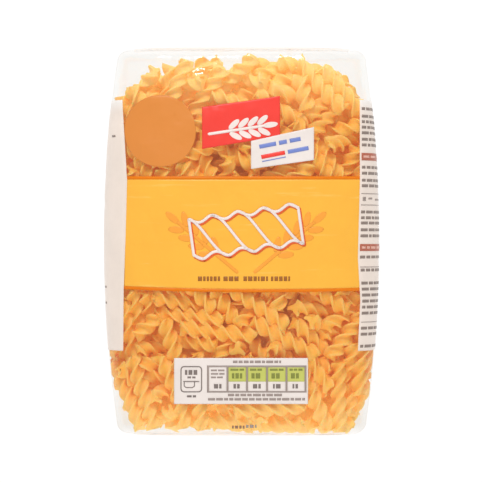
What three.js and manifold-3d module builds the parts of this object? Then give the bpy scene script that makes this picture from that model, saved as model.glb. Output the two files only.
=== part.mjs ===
// A packet of dry pasta twists, lying on its back: a clear film bag, filled and sealed at both ends.
// Units are millimetres. +Z is up, +Y points to the packet's top end, and the origin is on the
// ground under the middle of the packet. The bag is modelled as one closed solid of its true outer
// form: a bulging block with flat end panels, tucked-in side folds and a crimped seal on each end.
import * as THREE from "three";
import { mergeVertices } from "three/addons/utils/BufferGeometryUtils.js";
import Module from "manifold-3d";

// Overall form
const LENGTH = 214.5;
const MIDDLE_WIDTH = 152;
const END_WIDTH = 136.5;
const MIDDLE_THICKNESS = 56;
const END_THICKNESS = 45;

// How the film curves. A squareness of 2 is an ellipse, and more is nearer to a box.
const MIDDLE_SQUARENESS = 2.9;
const END_SQUARENESS = 4.2;
const EDGE_RADIUS = 6.5;
const PANEL_BULGE = 2;

// How the packet lies: its back is pressed flat, and its ends lift a little off the ground
const BACK_SINK = 5;
const END_LIFT = 3;

// The slack film's shallow waves on the front and the sides
const WAVE_HEIGHT = 0.7;
const WAVE_LENGTH_X = 41;
const WAVE_LENGTH_Y = 53;

// Side folds on the end panels, tucked in as shallow triangles
const TUCK_REACH = 28;
const TUCK_DEPTH = 0.6;

// Crimped end seals, folded flat against the end panels
const SEAL_HEIGHT = 12;
const SEAL_PROUD = 0.4;
const SEAL_BURIED = 0.8;
const SEAL_SIDE_GAP = 2.2;
const CRIMP_COUNT = 6;
const CRIMP_DEPTH = 0.25;
const CRIMP_STEPS = 4;

// Fineness of the mesh
const POINTS_AROUND = 64;
const RINGS_ON_HALF = 16;
const RINGS_ON_EDGE = 5;
const RINGS_ON_PANEL = 7;

const HALF_LENGTH = LENGTH / 2 - SEAL_PROUD - CRIMP_DEPTH;

const filmMaterial = new THREE.MeshStandardMaterial({
  color: 0xf2ae5c,
  roughness: 0.25,
  metalness: 0,
});

// 0 at the packet's middle and 1 at either end.
function endShare(y) {
  return Math.min(1, Math.abs(y) / HALF_LENGTH);
}

function mix(middle, end, share) {
  return middle + (end - middle) * share;
}

function halfWidthAt(y) {
  return mix(MIDDLE_WIDTH, END_WIDTH, endShare(y) ** 2) / 2;
}

function halfThicknessAt(y) {
  return mix(MIDDLE_THICKNESS + BACK_SINK, END_THICKNESS, endShare(y) ** 3) / 2;
}

// Height of the section's centre. Near the ends the back rises off the ground.
function centreHeightAt(y) {
  return halfThicknessAt(y) + mix(-BACK_SINK, END_LIFT, endShare(y) ** 3);
}

function signedPower(value, power) {
  return Math.sign(value) * Math.abs(value) ** power;
}

// How far the slack film stands in or out. It dies away at the ends and on the back.
function waveAt(x, y, upward) {
  const fade = Math.max(0, upward) * (1 - endShare(y) ** 4);
  const along = Math.sin((2 * Math.PI * y) / WAVE_LENGTH_Y + x / WAVE_LENGTH_X);
  const across = Math.cos((2 * Math.PI * x) / WAVE_LENGTH_X - y / WAVE_LENGTH_Y);
  return WAVE_HEIGHT * fade * along * across;
}

// How far the end panel's tucked side fold lies in, as a triangle with its base on the side edge.
function tuckAt(x, rise, halfWidth) {
  const inward = 1 - (halfWidth - Math.abs(x)) / TUCK_REACH - Math.abs(rise);
  return TUCK_DEPTH * Math.max(0, inward);
}

// One ring of the bag's skin. `inset` shrinks the section for the rounded edge, and `scale` then
// shrinks it towards the middle of the end panel.
function ring(y, inset, scale) {
  const squareness = mix(MIDDLE_SQUARENESS, END_SQUARENESS, endShare(y) ** 2);
  const halfWidth = halfWidthAt(y) - inset;
  const halfThickness = halfThicknessAt(y) - inset;
  const centre = centreHeightAt(y);
  const onPanel = Math.max(0, (Math.abs(y) - HALF_LENGTH + EDGE_RADIUS) / EDGE_RADIUS);
  const points = [];
  for (let i = 0; i < POINTS_AROUND; i++) {
    const angle = (2 * Math.PI * i) / POINTS_AROUND;
    const across = signedPower(Math.cos(angle), 2 / squareness);
    const rise = signedPower(Math.sin(angle), 2 / squareness) * scale;
    const x = halfWidth * across * scale;
    const bulge = PANEL_BULGE * rise ** 2 + tuckAt(x, rise, halfWidth);
    const height = centre + halfThickness * rise + waveAt(x, y, rise) * scale;
    const setBack = Math.sign(y) * bulge * onPanel;
    points.push(new THREE.Vector3(x, y - setBack, Math.max(0, height)));
  }
  return points;
}

// Where the rings lie on one half: from the end panel's middle, over its rounded edge, to the
// packet's middle.
function halfStations() {
  const stations = [];
  for (let i = 1; i < RINGS_ON_PANEL; i++) {
    stations.push({ y: HALF_LENGTH, inset: EDGE_RADIUS, scale: i / RINGS_ON_PANEL });
  }
  for (let i = 0; i < RINGS_ON_EDGE; i++) {
    const turn = (Math.PI / 2) * (1 - i / RINGS_ON_EDGE);
    const y = HALF_LENGTH - EDGE_RADIUS * (1 - Math.sin(turn));
    stations.push({ y, inset: EDGE_RADIUS * (1 - Math.cos(turn)), scale: 1 });
  }
  const straight = HALF_LENGTH - EDGE_RADIUS;
  for (let i = 0; i < RINGS_ON_HALF; i++) {
    stations.push({ y: straight * (1 - i / RINGS_ON_HALF), inset: 0, scale: 1 });
  }
  return stations;
}

// All the bag's rings, from the bottom end's panel to the top end's.
function bagRings() {
  const top = halfStations();
  const bottom = top.map(({ y, inset, scale }) => ({ y: -y, inset, scale }));
  const middle = { y: 0, inset: 0, scale: 1 };
  return [...bottom, middle, ...top.reverse()].map(({ y, inset, scale }) => ring(y, inset, scale));
}

// A closed skin over rings of equally many points, with a point in the middle of each end.
function skin(rings) {
  const middle = (points) =>
    points
      .reduce((sum, point) => sum.add(point), new THREE.Vector3())
      .divideScalar(points.length);
  const points = [middle(rings[0]), ...rings.flat(), middle(rings[rings.length - 1])];
  const at = (r, i) => 1 + r * POINTS_AROUND + (i % POINTS_AROUND);
  const faces = [];
  for (let i = 0; i < POINTS_AROUND; i++) {
    faces.push(0, at(0, i), at(0, i + 1));
    faces.push(points.length - 1, at(rings.length - 1, i + 1), at(rings.length - 1, i));
    for (let r = 0; r + 1 < rings.length; r++) {
      faces.push(at(r, i), at(r + 1, i), at(r + 1, i + 1));
      faces.push(at(r, i), at(r + 1, i + 1), at(r, i + 1));
    }
  }
  const geometry = new THREE.BufferGeometry().setFromPoints(points);
  geometry.setIndex(faces);
  return geometry;
}

// The crimped seal at an end: a ribbed strip that follows the panel's bulge, folded down from the
// panel's middle. `end` is 1 at the top and -1 at the bottom.
function sealStrip(end) {
  const y = end * HALF_LENGTH;
  const centre = centreHeightAt(y);
  const halfThickness = halfThicknessAt(y) - EDGE_RADIUS;
  const panelAt = (z) => HALF_LENGTH - PANEL_BULGE * ((z - centre) / halfThickness) ** 2;
  const steps = CRIMP_COUNT * CRIMP_STEPS;
  const outer = [];
  const inner = [];
  for (let i = 0; i <= steps; i++) {
    const z = centre - (SEAL_HEIGHT * i) / steps;
    const crimp = CRIMP_DEPTH * Math.sin((2 * Math.PI * i) / CRIMP_STEPS) ** 2;
    outer.push(new THREE.Vector2(panelAt(z) + SEAL_PROUD + crimp, z));
    inner.push(new THREE.Vector2(panelAt(z) - SEAL_BURIED, z));
  }
  const outline = new THREE.Shape(outer.concat(inner.reverse()));
  const width = END_WIDTH - 2 * (EDGE_RADIUS + SEAL_SIDE_GAP);
  const strip = new THREE.ExtrudeGeometry(outline, { depth: width, bevelEnabled: false });
  strip.translate(0, 0, -width / 2);
  // The outline's x becomes the packet's length, its y the height, and its depth the width.
  const basis = new THREE.Matrix4().makeBasis(
    new THREE.Vector3(0, 1, 0),
    new THREE.Vector3(0, 0, 1),
    new THREE.Vector3(1, 0, 0),
  );
  strip.applyMatrix4(basis);
  if (end < 0) strip.rotateZ(Math.PI);
  return strip;
}

const wasm = await Module();
wasm.setup();

function toSolid(geometry) {
  const bare = geometry.clone();
  bare.deleteAttribute("normal");
  bare.deleteAttribute("uv");
  const merged = mergeVertices(bare, 1e-4);
  return new wasm.Manifold(
    new wasm.Mesh({
      numProp: 3,
      vertProperties: merged.attributes.position.array,
      triVerts: new Uint32Array(merged.index.array),
    }),
  );
}

function toGeometry(solid) {
  const { numProp, numVert, vertProperties, triVerts } = solid.getMesh();
  const positions = new Float32Array(numVert * 3);
  for (let i = 0; i < numVert; i++) {
    positions.set(vertProperties.subarray(i * numProp, i * numProp + 3), i * 3);
  }
  const geometry = new THREE.BufferGeometry();
  geometry.setAttribute("position", new THREE.BufferAttribute(positions, 3));
  geometry.setIndex(new THREE.BufferAttribute(triVerts, 1));
  geometry.computeVertexNormals();
  return geometry;
}

const bag = toSolid(skin(bagRings()))
  .add(toSolid(sealStrip(1)))
  .add(toSolid(sealStrip(-1)));

const packet = new THREE.Mesh(toGeometry(bag), filmMaterial);
packet.name = "packet";

const part = new THREE.Group();
part.add(packet);

export default part;
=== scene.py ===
# A packet of dry pasta twists lying on its back on a white floor: real twists packed into the bag,
# a clear film drawn taut over them, and the print on the film. The working lengths are millimetres
# in the part's own frame, with +Y to the packet's top end, and meshes are made in metres.
import math

import bpy
import numpy as np
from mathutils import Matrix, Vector
from mathutils.bvhtree import BVHTree
from mathutils.kdtree import KDTree


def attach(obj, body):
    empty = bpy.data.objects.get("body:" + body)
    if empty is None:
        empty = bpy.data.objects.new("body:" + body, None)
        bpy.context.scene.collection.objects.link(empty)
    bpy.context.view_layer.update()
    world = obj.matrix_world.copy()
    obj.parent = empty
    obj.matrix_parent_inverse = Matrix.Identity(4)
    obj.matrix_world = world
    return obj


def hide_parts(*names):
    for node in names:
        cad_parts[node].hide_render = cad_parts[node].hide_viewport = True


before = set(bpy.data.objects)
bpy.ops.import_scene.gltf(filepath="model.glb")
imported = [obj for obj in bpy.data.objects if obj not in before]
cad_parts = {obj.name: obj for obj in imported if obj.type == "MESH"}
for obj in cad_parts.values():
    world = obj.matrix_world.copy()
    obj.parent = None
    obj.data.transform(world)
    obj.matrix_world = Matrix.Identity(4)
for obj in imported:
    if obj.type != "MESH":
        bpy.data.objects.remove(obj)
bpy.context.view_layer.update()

MM = 0.001
TINY = 1e-6
TINIEST = 1e-9
SEED = 13
rng = np.random.default_rng(SEED)

# The bag's form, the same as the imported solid's
LENGTH = 214.5
MIDDLE_WIDTH = 152.0
END_WIDTH = 136.5
MIDDLE_THICKNESS = 56.0
END_THICKNESS = 45.0
MIDDLE_SQUARENESS = 2.9
END_SQUARENESS = 4.2
EDGE_RADIUS = 6.5
PANEL_BULGE = 2.0
BACK_SINK = 5.0
END_LIFT = 3.0
TUCK_REACH = 28.0
TUCK_DEPTH = 0.6
SEAL_HEIGHT = 12.0
SEAL_PROUD = 0.65
SEAL_WIDTH = 119.0
SEAL_END_TAPER = 6.0
CRIMP_COUNT = 6
CRIMP_PITCH = SEAL_HEIGHT / CRIMP_COUNT
HALF_LENGTH = LENGTH / 2 - SEAL_PROUD

# The camera looks straight down, so the photograph's pixels lie on the plane at the packet's middle
IMAGE = 483
MM_PER_PIXEL = 0.551
MIDDLE_HEIGHT = 28.0
CAMERA_HEIGHT = 1228.0
SENSOR = 36.0

# Fineness of the film
POINTS_AROUND = 288
ROWS_ON_HALF = 84
ROWS_ON_EDGE = 8
ROWS_ON_PANEL = 16

# The twists. They are packed as capsules, which start at FIRST_SIZE of their full size and grow by
# GROWTH until GROWN_BY of the rounds have passed.
TWIST_COUNT = 560
TWIST_LENGTH = (35.0, 42.0)
BROKEN_SHARE = 0.08
BROKEN_TO = (0.4, 0.75)
TWIST_PITCH = 22.5
TWIST_STEPS = 28
PACKING_RADIUS = 3.65
PACKING_ROUNDS = 600
FIRST_SIZE = 0.55
GROWTH = 0.45
GROWN_BY = 0.6
START_BOX = (62, 92, 20)
START_TILT = (1, 1, 0.3)
NEIGHBOUR_ROUNDS = 15
NEIGHBOUR_REACH = 4
SHOVE = 0.35
CENTRE_SHOVE = 0.5
WALL_GAP = 4.2
PANEL_GAP = 1
OUTLINE_GIVE = 1
SIDE_GAP = 0.9
FRONT_GIVE = 1.8
# A painted shade darkens pasta deep in the bag. It grows between these depths in millimetres up to
# DEEPEST_SHADE, and fades out along the packet between UNSHADED_FROM
SHADED_DEPTHS = (7.0, 13.0)
DEEPEST_SHADE = 0.23
UNSHADED_FROM = (50.0, 80.0)


def end_share(y):
    return np.minimum(1, np.abs(y) / HALF_LENGTH)


def mix(a, b, share):
    return a + (b - a) * share


def half_width(y):
    return mix(MIDDLE_WIDTH, END_WIDTH, end_share(y) ** 2) / 2


def half_thickness(y):
    return mix(MIDDLE_THICKNESS + BACK_SINK, END_THICKNESS, end_share(y) ** 3) / 2


def centre_height(y):
    return half_thickness(y) + mix(-BACK_SINK, END_LIFT, end_share(y) ** 3)


def squareness(y):
    return mix(MIDDLE_SQUARENESS, END_SQUARENESS, end_share(y) ** 2)


def signed_power(value, power):
    return np.sign(value) * np.abs(value) ** power


def smooth_step(low, high, value):
    share = np.clip((value - low) / (high - low), 0, 1)
    return share * share * (3 - 2 * share)


def unit(vectors, guard=0.0):
    """Vectors at a length of 1. A small guard keeps one of no length from a division by 0."""
    return vectors / (np.linalg.norm(vectors, axis=-1, keepdims=True) + guard)


def place_in_section(x, y, z):
    """How far across and up points lie in the bag's section, as shares of its half width and half
    thickness, and how square the section is there."""
    across = np.abs(x) / half_width(y)
    up = np.abs(z - centre_height(y)) / half_thickness(y)
    return across, up, squareness(y)


def section_size(across, up, power):
    """The size of the section that goes through a place, where the bag's own is 1."""
    return (across**power + up**power) ** (1 / power)


def make_mesh(name, vertices, faces, material):
    mesh = bpy.data.meshes.new(name)
    mesh.from_pydata((np.asarray(vertices) * MM).tolist(), [], faces)
    mesh.polygons.foreach_set("use_smooth", [True] * len(mesh.polygons))
    mesh.materials.append(material)
    mesh.update()
    piece = bpy.data.objects.new(name, mesh)
    bpy.context.collection.objects.link(piece)
    return piece


# Node-based materials

class Look:
    """A material made of nodes. An input is a fixed value, another node or one of its outputs."""

    def __init__(self, name):
        self.material = bpy.data.materials.new(name)
        self.material.use_nodes = True
        self.tree = self.material.node_tree
        self.tree.nodes.clear()

    def node(self, kind, inputs=(), **settings):
        node = self.tree.nodes.new("ShaderNode" + kind)
        for key, setting in settings.items():
            setattr(node, key, setting)
        for key, value in dict(inputs).items():
            socket = node.inputs[key]
            if isinstance(value, bpy.types.Node):
                self.tree.links.new(value.outputs[0], socket)
            elif isinstance(value, bpy.types.NodeSocket):
                self.tree.links.new(value, socket)
            elif socket.type == "RGBA":
                socket.default_value = (*value, 1)
            else:
                socket.default_value = value
        return node

    def done(self, shader):
        self.node("OutputMaterial", {"Surface": shader})
        return self.material

    def place(self):
        return self.node("TexCoord").outputs["Object"]

    def attribute(self, name):
        return self.node("Attribute", attribute_name=name).outputs["Fac"]

    def math(self, operation, *values, use_clamp=False):
        return self.node("Math", enumerate(values), operation=operation, use_clamp=use_clamp)

    def noise(self, scale, detail=4.0, roughness=0.6, stretch=(1, 1, 1)):
        """A noise texture in the part's own frame. The scale counts waves in a metre."""
        mapping = self.node("Mapping", {"Vector": self.place(), "Scale": stretch})
        inputs = {"Vector": mapping, "Scale": scale, "Detail": detail, "Roughness": roughness}
        return self.node("TexNoise", inputs).outputs["Fac"]

    def ramp(self, factor, low, high, stops=(0.0, 1.0)):
        """A colour that runs from low to high as the factor passes from stop to stop."""
        node = self.node("ValToRGB", {"Fac": factor})
        for element, position, colour in zip(node.color_ramp.elements, stops, (low, high)):
            element.position = position
            element.color = (*colour, 1)
        return node

    def blend(self, share, a, b):
        """Two colours mixed."""
        node = self.node("Mix", {"Factor": share, "A": a, "B": b}, data_type="RGBA")
        return node.outputs["Result"]

    def bump(self, height, distance, strength):
        return self.node("Bump", {"Height": height, "Distance": distance, "Strength": strength})

    def crinkle(self, distance, strength):
        """The film's fine creases, as a normal."""
        return self.bump(self.noise(90, detail=5.0, stretch=(1, 0.5, 1)), distance, strength)

    def rising(self, value, start, stop, least=0.0, most=1.0, way="LINEAR"):
        """A factor that rises from least to most as a value passes from start to stop."""
        inputs = {"Value": value, "From Min": start, "From Max": stop, "To Min": least, "To Max": most}
        return self.node("MapRange", inputs, interpolation_type=way)

    def rising_along(self, start, stop, most=1.0):
        """A factor that rises from 0 to most between two places along the packet, in metres."""
        along = self.node("SeparateXYZ", {0: self.place()}).outputs["Y"]
        return self.rising(along, start, stop, 0.0, most, "SMOOTHSTEP")

    def towards_ends(self, top, bottom, most=1.0):
        """A factor that rises from 0 to most towards both of the packet's ends."""
        return self.math("ADD", self.rising_along(*top, most), self.rising_along(*bottom, most))


def linear(red, green, blue):
    """An sRGB colour from 0 to 255 as linear numbers."""
    return tuple(((c / 255 + 0.055) / 1.055) ** 2.4 if c > 10 else c / 3295 for c in (red, green, blue))


# Colours and how strong each effect is. Places along the packet are in metres.
WHITE = (1.0, 1.0, 1.0)
# PASTA_DEEP and PASTA_PALE bound the pasta's colour. It varies at random and, as a painted highlight,
# turns paler on the blades' crests.
PASTA_DEEP = ((0.87, 0.455, 0.045), (0.92, 0.505, 0.06))
PASTA_PALE = ((0.95, 0.555, 0.145), (0.98, 0.625, 0.205))
# Painted light: between PALE_AT_TOP and PALE_AT_BOTTOM the pasta turns paler, to PASTA_AT_ENDS, where
# light comes in through the bag's ends
PASTA_AT_ENDS = (0.96, 0.595, 0.205)
# PASTA_SHADE is the colour of the painted shade deep in the bag
PASTA_SHADE = (0.24, 0.06, 0.05)
# Painted light: PASTA_GLOW is an emission for light that passes through the pasta, rising to
# GLOW_AT_ENDS at the ends. NO_GLOW is where the painted shade takes it away
PASTA_GLOW = (0.12, 0.036, 0.0)
NO_GLOW = (0.0, 0.0, 0.0)
GLOW_AT_ENDS = (0.20, 0.135, 0.016)
PALE_AT_TOP = (0.055, 0.098)
PALE_AT_BOTTOM = (-0.068, -0.104)
CLEARER_AT_TOP = (0.1035, 0.1062)
CLEARER_AT_BOTTOM = (-0.1025, -0.1062)
FILM_TINT = (0.960, 0.963, 0.956)
TINT_AT_BOTTOM = (0.93, 0.92, 0.90)
TINTED_FROM = (-0.08, -0.1)
FILM_HAZE = (0.95, 0.95, 0.93)
HAZE_RANGE = (0.0, 0.015)
END_HAZE = 0.02
FILM_GLOSS = 0.10
SEAL_GLOSS = 0.015
SEAL_HAZE = 0.01
CRIMP_HAZE = 0.07
INK_GLOW = (1, 0.93, 0.86)
# Blender's wave texture runs through this many radians in one unit at a scale of 1
WAVES_PER_UNIT = 20


def pasta_material():
    """Pasta that is paler on its crests, a painted highlight, and redder where a painted shade lies
    deep in the bag. Its paler colour towards the ends and its glow are painted light.
    """
    look = Look("pasta")
    tone = look.attribute("tone")
    shade = look.attribute("shade")
    deep = look.ramp(tone, *PASTA_DEEP)
    pale = look.ramp(tone, *PASTA_PALE)
    # Random clouds, plus a painted highlight that makes the crests paler
    crest_highlight = look.math("MULTIPLY", look.attribute("crest_highlight"), 0.6)
    cloud = look.math("MULTIPLY_ADD", look.noise(170), 0.5, crest_highlight)
    colour = look.blend(look.math("SUBTRACT", cloud, 0.25, use_clamp=True), deep, pale)
    # Painted light towards the ends: a paler colour and a stronger glow
    ends = look.towards_ends(PALE_AT_TOP, PALE_AT_BOTTOM)
    colour = look.blend(ends, colour, PASTA_AT_ENDS)
    glow = look.blend(ends, PASTA_GLOW, GLOW_AT_ENDS)
    return look.done(look.node("BsdfPrincipled", {
        "Base Color": look.blend(shade, colour, PASTA_SHADE),
        "Roughness": 0.5,
        "IOR": 1.45,
        "Subsurface Weight": 0.5,
        "Subsurface Radius": (1.0, 0.4, 0.15),
        "Subsurface Scale": 0.0022,
        "Emission Color": look.blend(shade, glow, NO_GLOW),
        "Emission Strength": 1.0,
        "Normal": look.bump(look.noise(1400, detail=3.0), 0.00025, 0.5),
    }))


def clear_film(look, tint, most_gloss, more_haze, least_haze=0.0):
    """Clear film with a soft gloss and a thin haze."""
    clear = look.node("BsdfTransparent", {"Color": tint})
    normal = look.crinkle(0.0015, 0.35)
    gloss = look.node("BsdfGlossy", {"Color": WHITE, "Roughness": 0.12, "Normal": normal})
    fresnel = look.node("Fresnel", {"IOR": 1.5, "Normal": normal})
    share = look.math("MINIMUM", fresnel, most_gloss)
    shiny = look.node("MixShader", {0: share, 1: clear, 2: gloss})
    haze = look.node("BsdfDiffuse", {"Color": FILM_HAZE})
    low, high = HAZE_RANGE
    clouds = look.noise(22, detail=3.0, roughness=0.5)
    veil = look.rising(clouds, 0.3, 0.7, low + least_haze, high + least_haze)
    total = look.math("ADD", veil, more_haze)
    return look.done(look.node("MixShader", {0: total, 1: shiny, 2: haze}))


def film_material():
    look = Look("film")
    tint = look.blend(look.rising_along(*TINTED_FROM), FILM_TINT, TINT_AT_BOTTOM)
    tint = look.blend(look.towards_ends(CLEARER_AT_TOP, CLEARER_AT_BOTTOM), tint, WHITE)
    return clear_film(look, tint, FILM_GLOSS, look.towards_ends(PALE_AT_TOP, PALE_AT_BOTTOM, END_HAZE))


def seal_material():
    """The seals' film, with a haze that follows the crimps down the end panel."""
    look = Look("seal")
    scale = 2 * math.pi / (WAVES_PER_UNIT * CRIMP_PITCH * MM)
    lines = look.node("TexWave", {"Vector": look.place(), "Scale": scale}, bands_direction="Z")
    crimps = look.math("MULTIPLY", lines.outputs["Fac"], CRIMP_HAZE)
    return clear_film(look, WHITE, SEAL_GLOSS, crimps, SEAL_HAZE)


def ink_material(
    name, colour, see_through=0.0, mottle=0.04, streaks=0.0, crinkled=0.3, fade=None, glow=0.0,
    gloss=0.5,
):
    """Ink on film: glossy and faintly mottled. See-through ink lets the pasta show a little, and a
    glow stands for the light that comes through white ink. Paler streaks are a painted sheen on the
    film's creases."""
    look = Look(name)
    dark = tuple(c * (1 - mottle) for c in colour)
    light = tuple(min(1, c * (1 + mottle)) for c in colour)
    mottled = look.ramp(look.noise(60), dark, light, (0.3, 0.7))
    # Paler streaks across the ink: a painted sheen on the film's creases
    if streaks:
        lines = look.noise(30, roughness=0.7, stretch=(0.6, 12, 1))
        share = look.rising(lines, 0.62, 0.72, most=streaks)
        mottled = look.blend(share, mottled, linear(255, 214, 120))
    if fade:
        mottled = look.blend(look.rising_along(*fade), mottled, linear(234, 231, 227))
    shader = look.node("BsdfPrincipled", {
        "Base Color": mottled,
        "Roughness": 0.38,
        "Emission Color": INK_GLOW,
        "Emission Strength": glow,
        "Specular IOR Level": gloss,
        "Normal": look.crinkle(0.0012, crinkled),
    })
    if see_through:
        clear = look.node("BsdfTransparent")
        shader = look.node("MixShader", {0: 1 - see_through, 1: clear, 2: shader})
    return look.done(shader)


pasta_look = pasta_material()
film_look = film_material()
seal_look = seal_material()


# The twists: capsules pushed apart inside the bag until they hardly overlap

# The plan outline that the pasta keeps to, as lines through two pixels of the photograph each. The
# film stands clear of the pasta outside them.
CLEAR_CORNERS = (
    ((112, 108), (152, 68)),
    ((148, 70), (210, 55)),
    ((200, 57), (300, 57)),
    ((285, 58), (350, 74)),
    ((338, 66), (366, 104)),
    ((112, 400), (140, 430)),
    ((140, 427), (350, 431)),
    ((371, 388), (349, 436)),
)
# Gaps among the topmost twists, as a pixel and a radius in millimetres
CLEAR_POCKETS = ((232, 60, 3.5), (266, 52, 5.0), (160, 62, 4.0))
# How high the outline's pixels are taken to lie
OUTLINE_HEIGHT = 40


def plan_at_pixel(pixel, height):
    """Where a pixel's ray meets a height, in millimetres."""
    scale = MM_PER_PIXEL * (CAMERA_HEIGHT - height) / (CAMERA_HEIGHT - MIDDLE_HEIGHT)
    pixel = np.asarray(pixel, float)
    return np.stack([(pixel[..., 0] - IMAGE / 2) * scale, (IMAGE / 2 - pixel[..., 1]) * scale], -1)


def corner_walls():
    """Each line of CLEAR_CORNERS as an outward direction and its distance from the middle."""
    walls = []
    for ends in CLEAR_CORNERS:
        a, b = plan_at_pixel(ends, OUTLINE_HEIGHT)
        outward = np.array([b[1] - a[1], a[0] - b[0]])
        outward /= np.linalg.norm(outward)
        if outward @ a < 0:
            outward = -outward
        walls.append((outward, outward @ a))
    return walls


WALLS = corner_walls()
POCKETS = [(plan_at_pixel((px, py), OUTLINE_HEIGHT), radius) for px, py, radius in CLEAR_POCKETS]


def wall_push(points):
    """How far each point has to move to lie inside the bag, as vectors."""
    x, y, z = points.T
    push = np.zeros_like(points)
    across, up, power = place_in_section(x, y, z)
    across += TINY
    up += TINY
    size = section_size(across, up, power)
    slope_x = (across / size) ** (power - 1) / half_width(y)
    slope_z = (up / size) ** (power - 1) / half_thickness(y)
    slope = np.hypot(slope_x, slope_z)
    too_far = np.maximum(0, WALL_GAP - (1 - size) / slope)
    push[:, 0] -= np.sign(x) * too_far * slope_x / slope
    push[:, 2] -= np.sign(z - centre_height(y)) * too_far * slope_z / slope
    push[:, 2] += np.maximum(0, WALL_GAP - z)
    push[:, 1] -= np.sign(y) * np.maximum(0, np.abs(y) - (HALF_LENGTH - WALL_GAP - PANEL_GAP))
    for outward, distance in WALLS:
        beyond = np.maximum(0, points[:, :2] @ outward - (distance - WALL_GAP + OUTLINE_GIVE))
        push[:, :2] -= beyond[:, None] * outward
    for centre, radius in POCKETS:
        away = points[:, :2] - centre
        distance = np.linalg.norm(away, axis=1, keepdims=True) + TINY
        push[:, :2] += away / distance * np.maximum(0, radius + WALL_GAP - distance)
    return push


def kept_inside(points):
    """Points drawn in to lie inside the film's smooth form. The front's film gives a little."""
    x, y, z = points.T
    rise = np.minimum(1, place_in_section(x, y, z)[1])
    longest = HALF_LENGTH - SIDE_GAP - PANEL_BULGE * rise**2
    y = np.clip(y, -longest, longest)
    past_straight = np.clip(np.abs(y) - HALF_LENGTH + EDGE_RADIUS, 0, EDGE_RADIUS)
    inset = EDGE_RADIUS - np.sqrt(EDGE_RADIUS**2 - past_straight**2) + SIDE_GAP
    up = z - centre_height(y)
    width = half_width(y) - inset
    height = half_thickness(y) - inset + FRONT_GIVE * (up > 0)
    shrink = 1 / np.maximum(1, section_size(np.abs(x) / width, np.abs(up) / height, squareness(y)))
    z = centre_height(y) + up * shrink
    return np.stack([x * shrink, y, np.maximum(z, SIDE_GAP)], 1)


def shade_inside(points):
    """How shaded points are that lie deep inside the bag, from 0 to DEEPEST_SHADE. The ends of the
    bag, which let light in, stay unshaded."""
    x, y, z = points.T
    size = section_size(*place_in_section(x, y, z))
    depth = smooth_step(*SHADED_DEPTHS, (1 - size) * half_thickness(y))
    return DEEPEST_SHADE * depth * (1 - smooth_step(*UNSHADED_FROM, np.abs(y)))


def nearest_on_segments(gap, along, along_other, half, half_other):
    """Where two segments come closest, as distances from their middles. gap is their middles'."""
    both = np.sum(along * along_other, 1)
    own = np.sum(along * gap, 1)
    other = np.sum(along_other * gap, 1)
    s = np.clip((both * other - own) / np.maximum(1 - both**2, 1e-3), -half, half)
    t = np.clip(both * s + other, -half_other, half_other)
    s = np.clip(both * t - own, -half, half)
    t = np.clip(both * s + other, -half_other, half_other)
    return s, t


def shove(ends, index, share, move):
    """Adds a move at a share of the way along each indexed segment to the segments' two ends."""
    size = (1 - share) ** 2 + share**2
    for end, weight in ((0, (1 - share) / size), (1, share / size)):
        for axis in range(3):
            ends[end][:, axis] += np.bincount(
                index, weights=move[:, axis] * weight, minlength=len(ends[end])
            )


def pack_twists():
    """The twists' middles, directions and lengths."""
    count = TWIST_COUNT
    length = rng.uniform(*TWIST_LENGTH, count)
    broken = rng.random(count) < BROKEN_SHARE
    length[broken] *= rng.uniform(*BROKEN_TO, broken.sum())
    half = length / 2 - PACKING_RADIUS
    middle = rng.uniform(-1, 1, (count, 3)) * START_BOX + (0, 0, MIDDLE_HEIGHT)
    along = unit(rng.normal(size=(count, 3)) * START_TILT)
    for turn in range(PACKING_ROUNDS):
        radius = PACKING_RADIUS * min(1, FIRST_SIZE + GROWTH * turn / (GROWN_BY * PACKING_ROUNDS))
        if turn % NEIGHBOUR_ROUNDS == 0:
            gap = np.linalg.norm(middle[:, None] - middle[None], axis=2)
            reach = half[:, None] + half[None] + 2 * PACKING_RADIUS + NEIGHBOUR_REACH
            first, second = np.nonzero(np.triu(gap < reach, 1))
        gap = middle[first] - middle[second]
        s, t = nearest_on_segments(gap, along[first], along[second], half[first], half[second])
        apart = gap + along[first] * s[:, None] - along[second] * t[:, None]
        distance = np.linalg.norm(apart, axis=1) + TINY
        close = distance < 2 * radius
        move = apart[close] / distance[close, None] * (2 * radius - distance[close])[:, None] / 2
        ends = [np.zeros((count, 3)), np.zeros((count, 3))]
        for which, at, part in ((first, s, SHOVE), (second, t, -SHOVE)):
            which = which[close]
            shove(ends, which, (at[close] + half[which]) / (2 * half[which]), move * part)
        low = middle - along * half[:, None] + ends[0]
        high = middle + along * half[:, None] + ends[1]
        low += wall_push(low)
        high += wall_push(high)
        centre_push = wall_push((low + high) / 2) * CENTRE_SHOVE
        low += centre_push
        high += centre_push
        middle = (low + high) / 2
        along = unit(high - low)
    return middle, along, length


# One blade's outline, as radii and degrees from the blade's middle, and how far it sweeps round
BLADE_OUTLINE = ((1.9, -60), (2.8, -24), (4.5, -11), (4.9, 0), (4.5, 11), (2.8, 24))
BLADE_RADIUS = 4.9
BLADE_SWEEP = 0.3
BLADES = 3
CORE_RADIUS = 1.5
# CAP_CREST is the painted crest highlight's share on the twists' flat ends
CAP_CREST = 0.2

# How one twist differs from the next
PITCH_SPREAD = (0.92, 1.1)
SIZE_SPREAD = (0.93, 1.04)
BEND = 0.9
BEND_LENGTH = 40
WOBBLE = 0.03
WOBBLE_SPREAD = (0.5, 1.3)
# Each end is cut at a slant, which takes up the last of the twist's half length
CUT_SLANT = 0.25
CUT_FROM = 0.93
CUT_LENGTH = 0.07


def section():
    """A twist's cross-section, as radii and angles."""
    radius = []
    angle = []
    for blade in range(BLADES):
        middle = 2 * math.pi * blade / BLADES
        for r, turn in BLADE_OUTLINE:
            radius.append(r)
            angle.append(middle + math.radians(turn) + BLADE_SWEEP * (r / BLADE_RADIUS) ** 2)
    return np.array(radius), np.array(angle)


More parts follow.
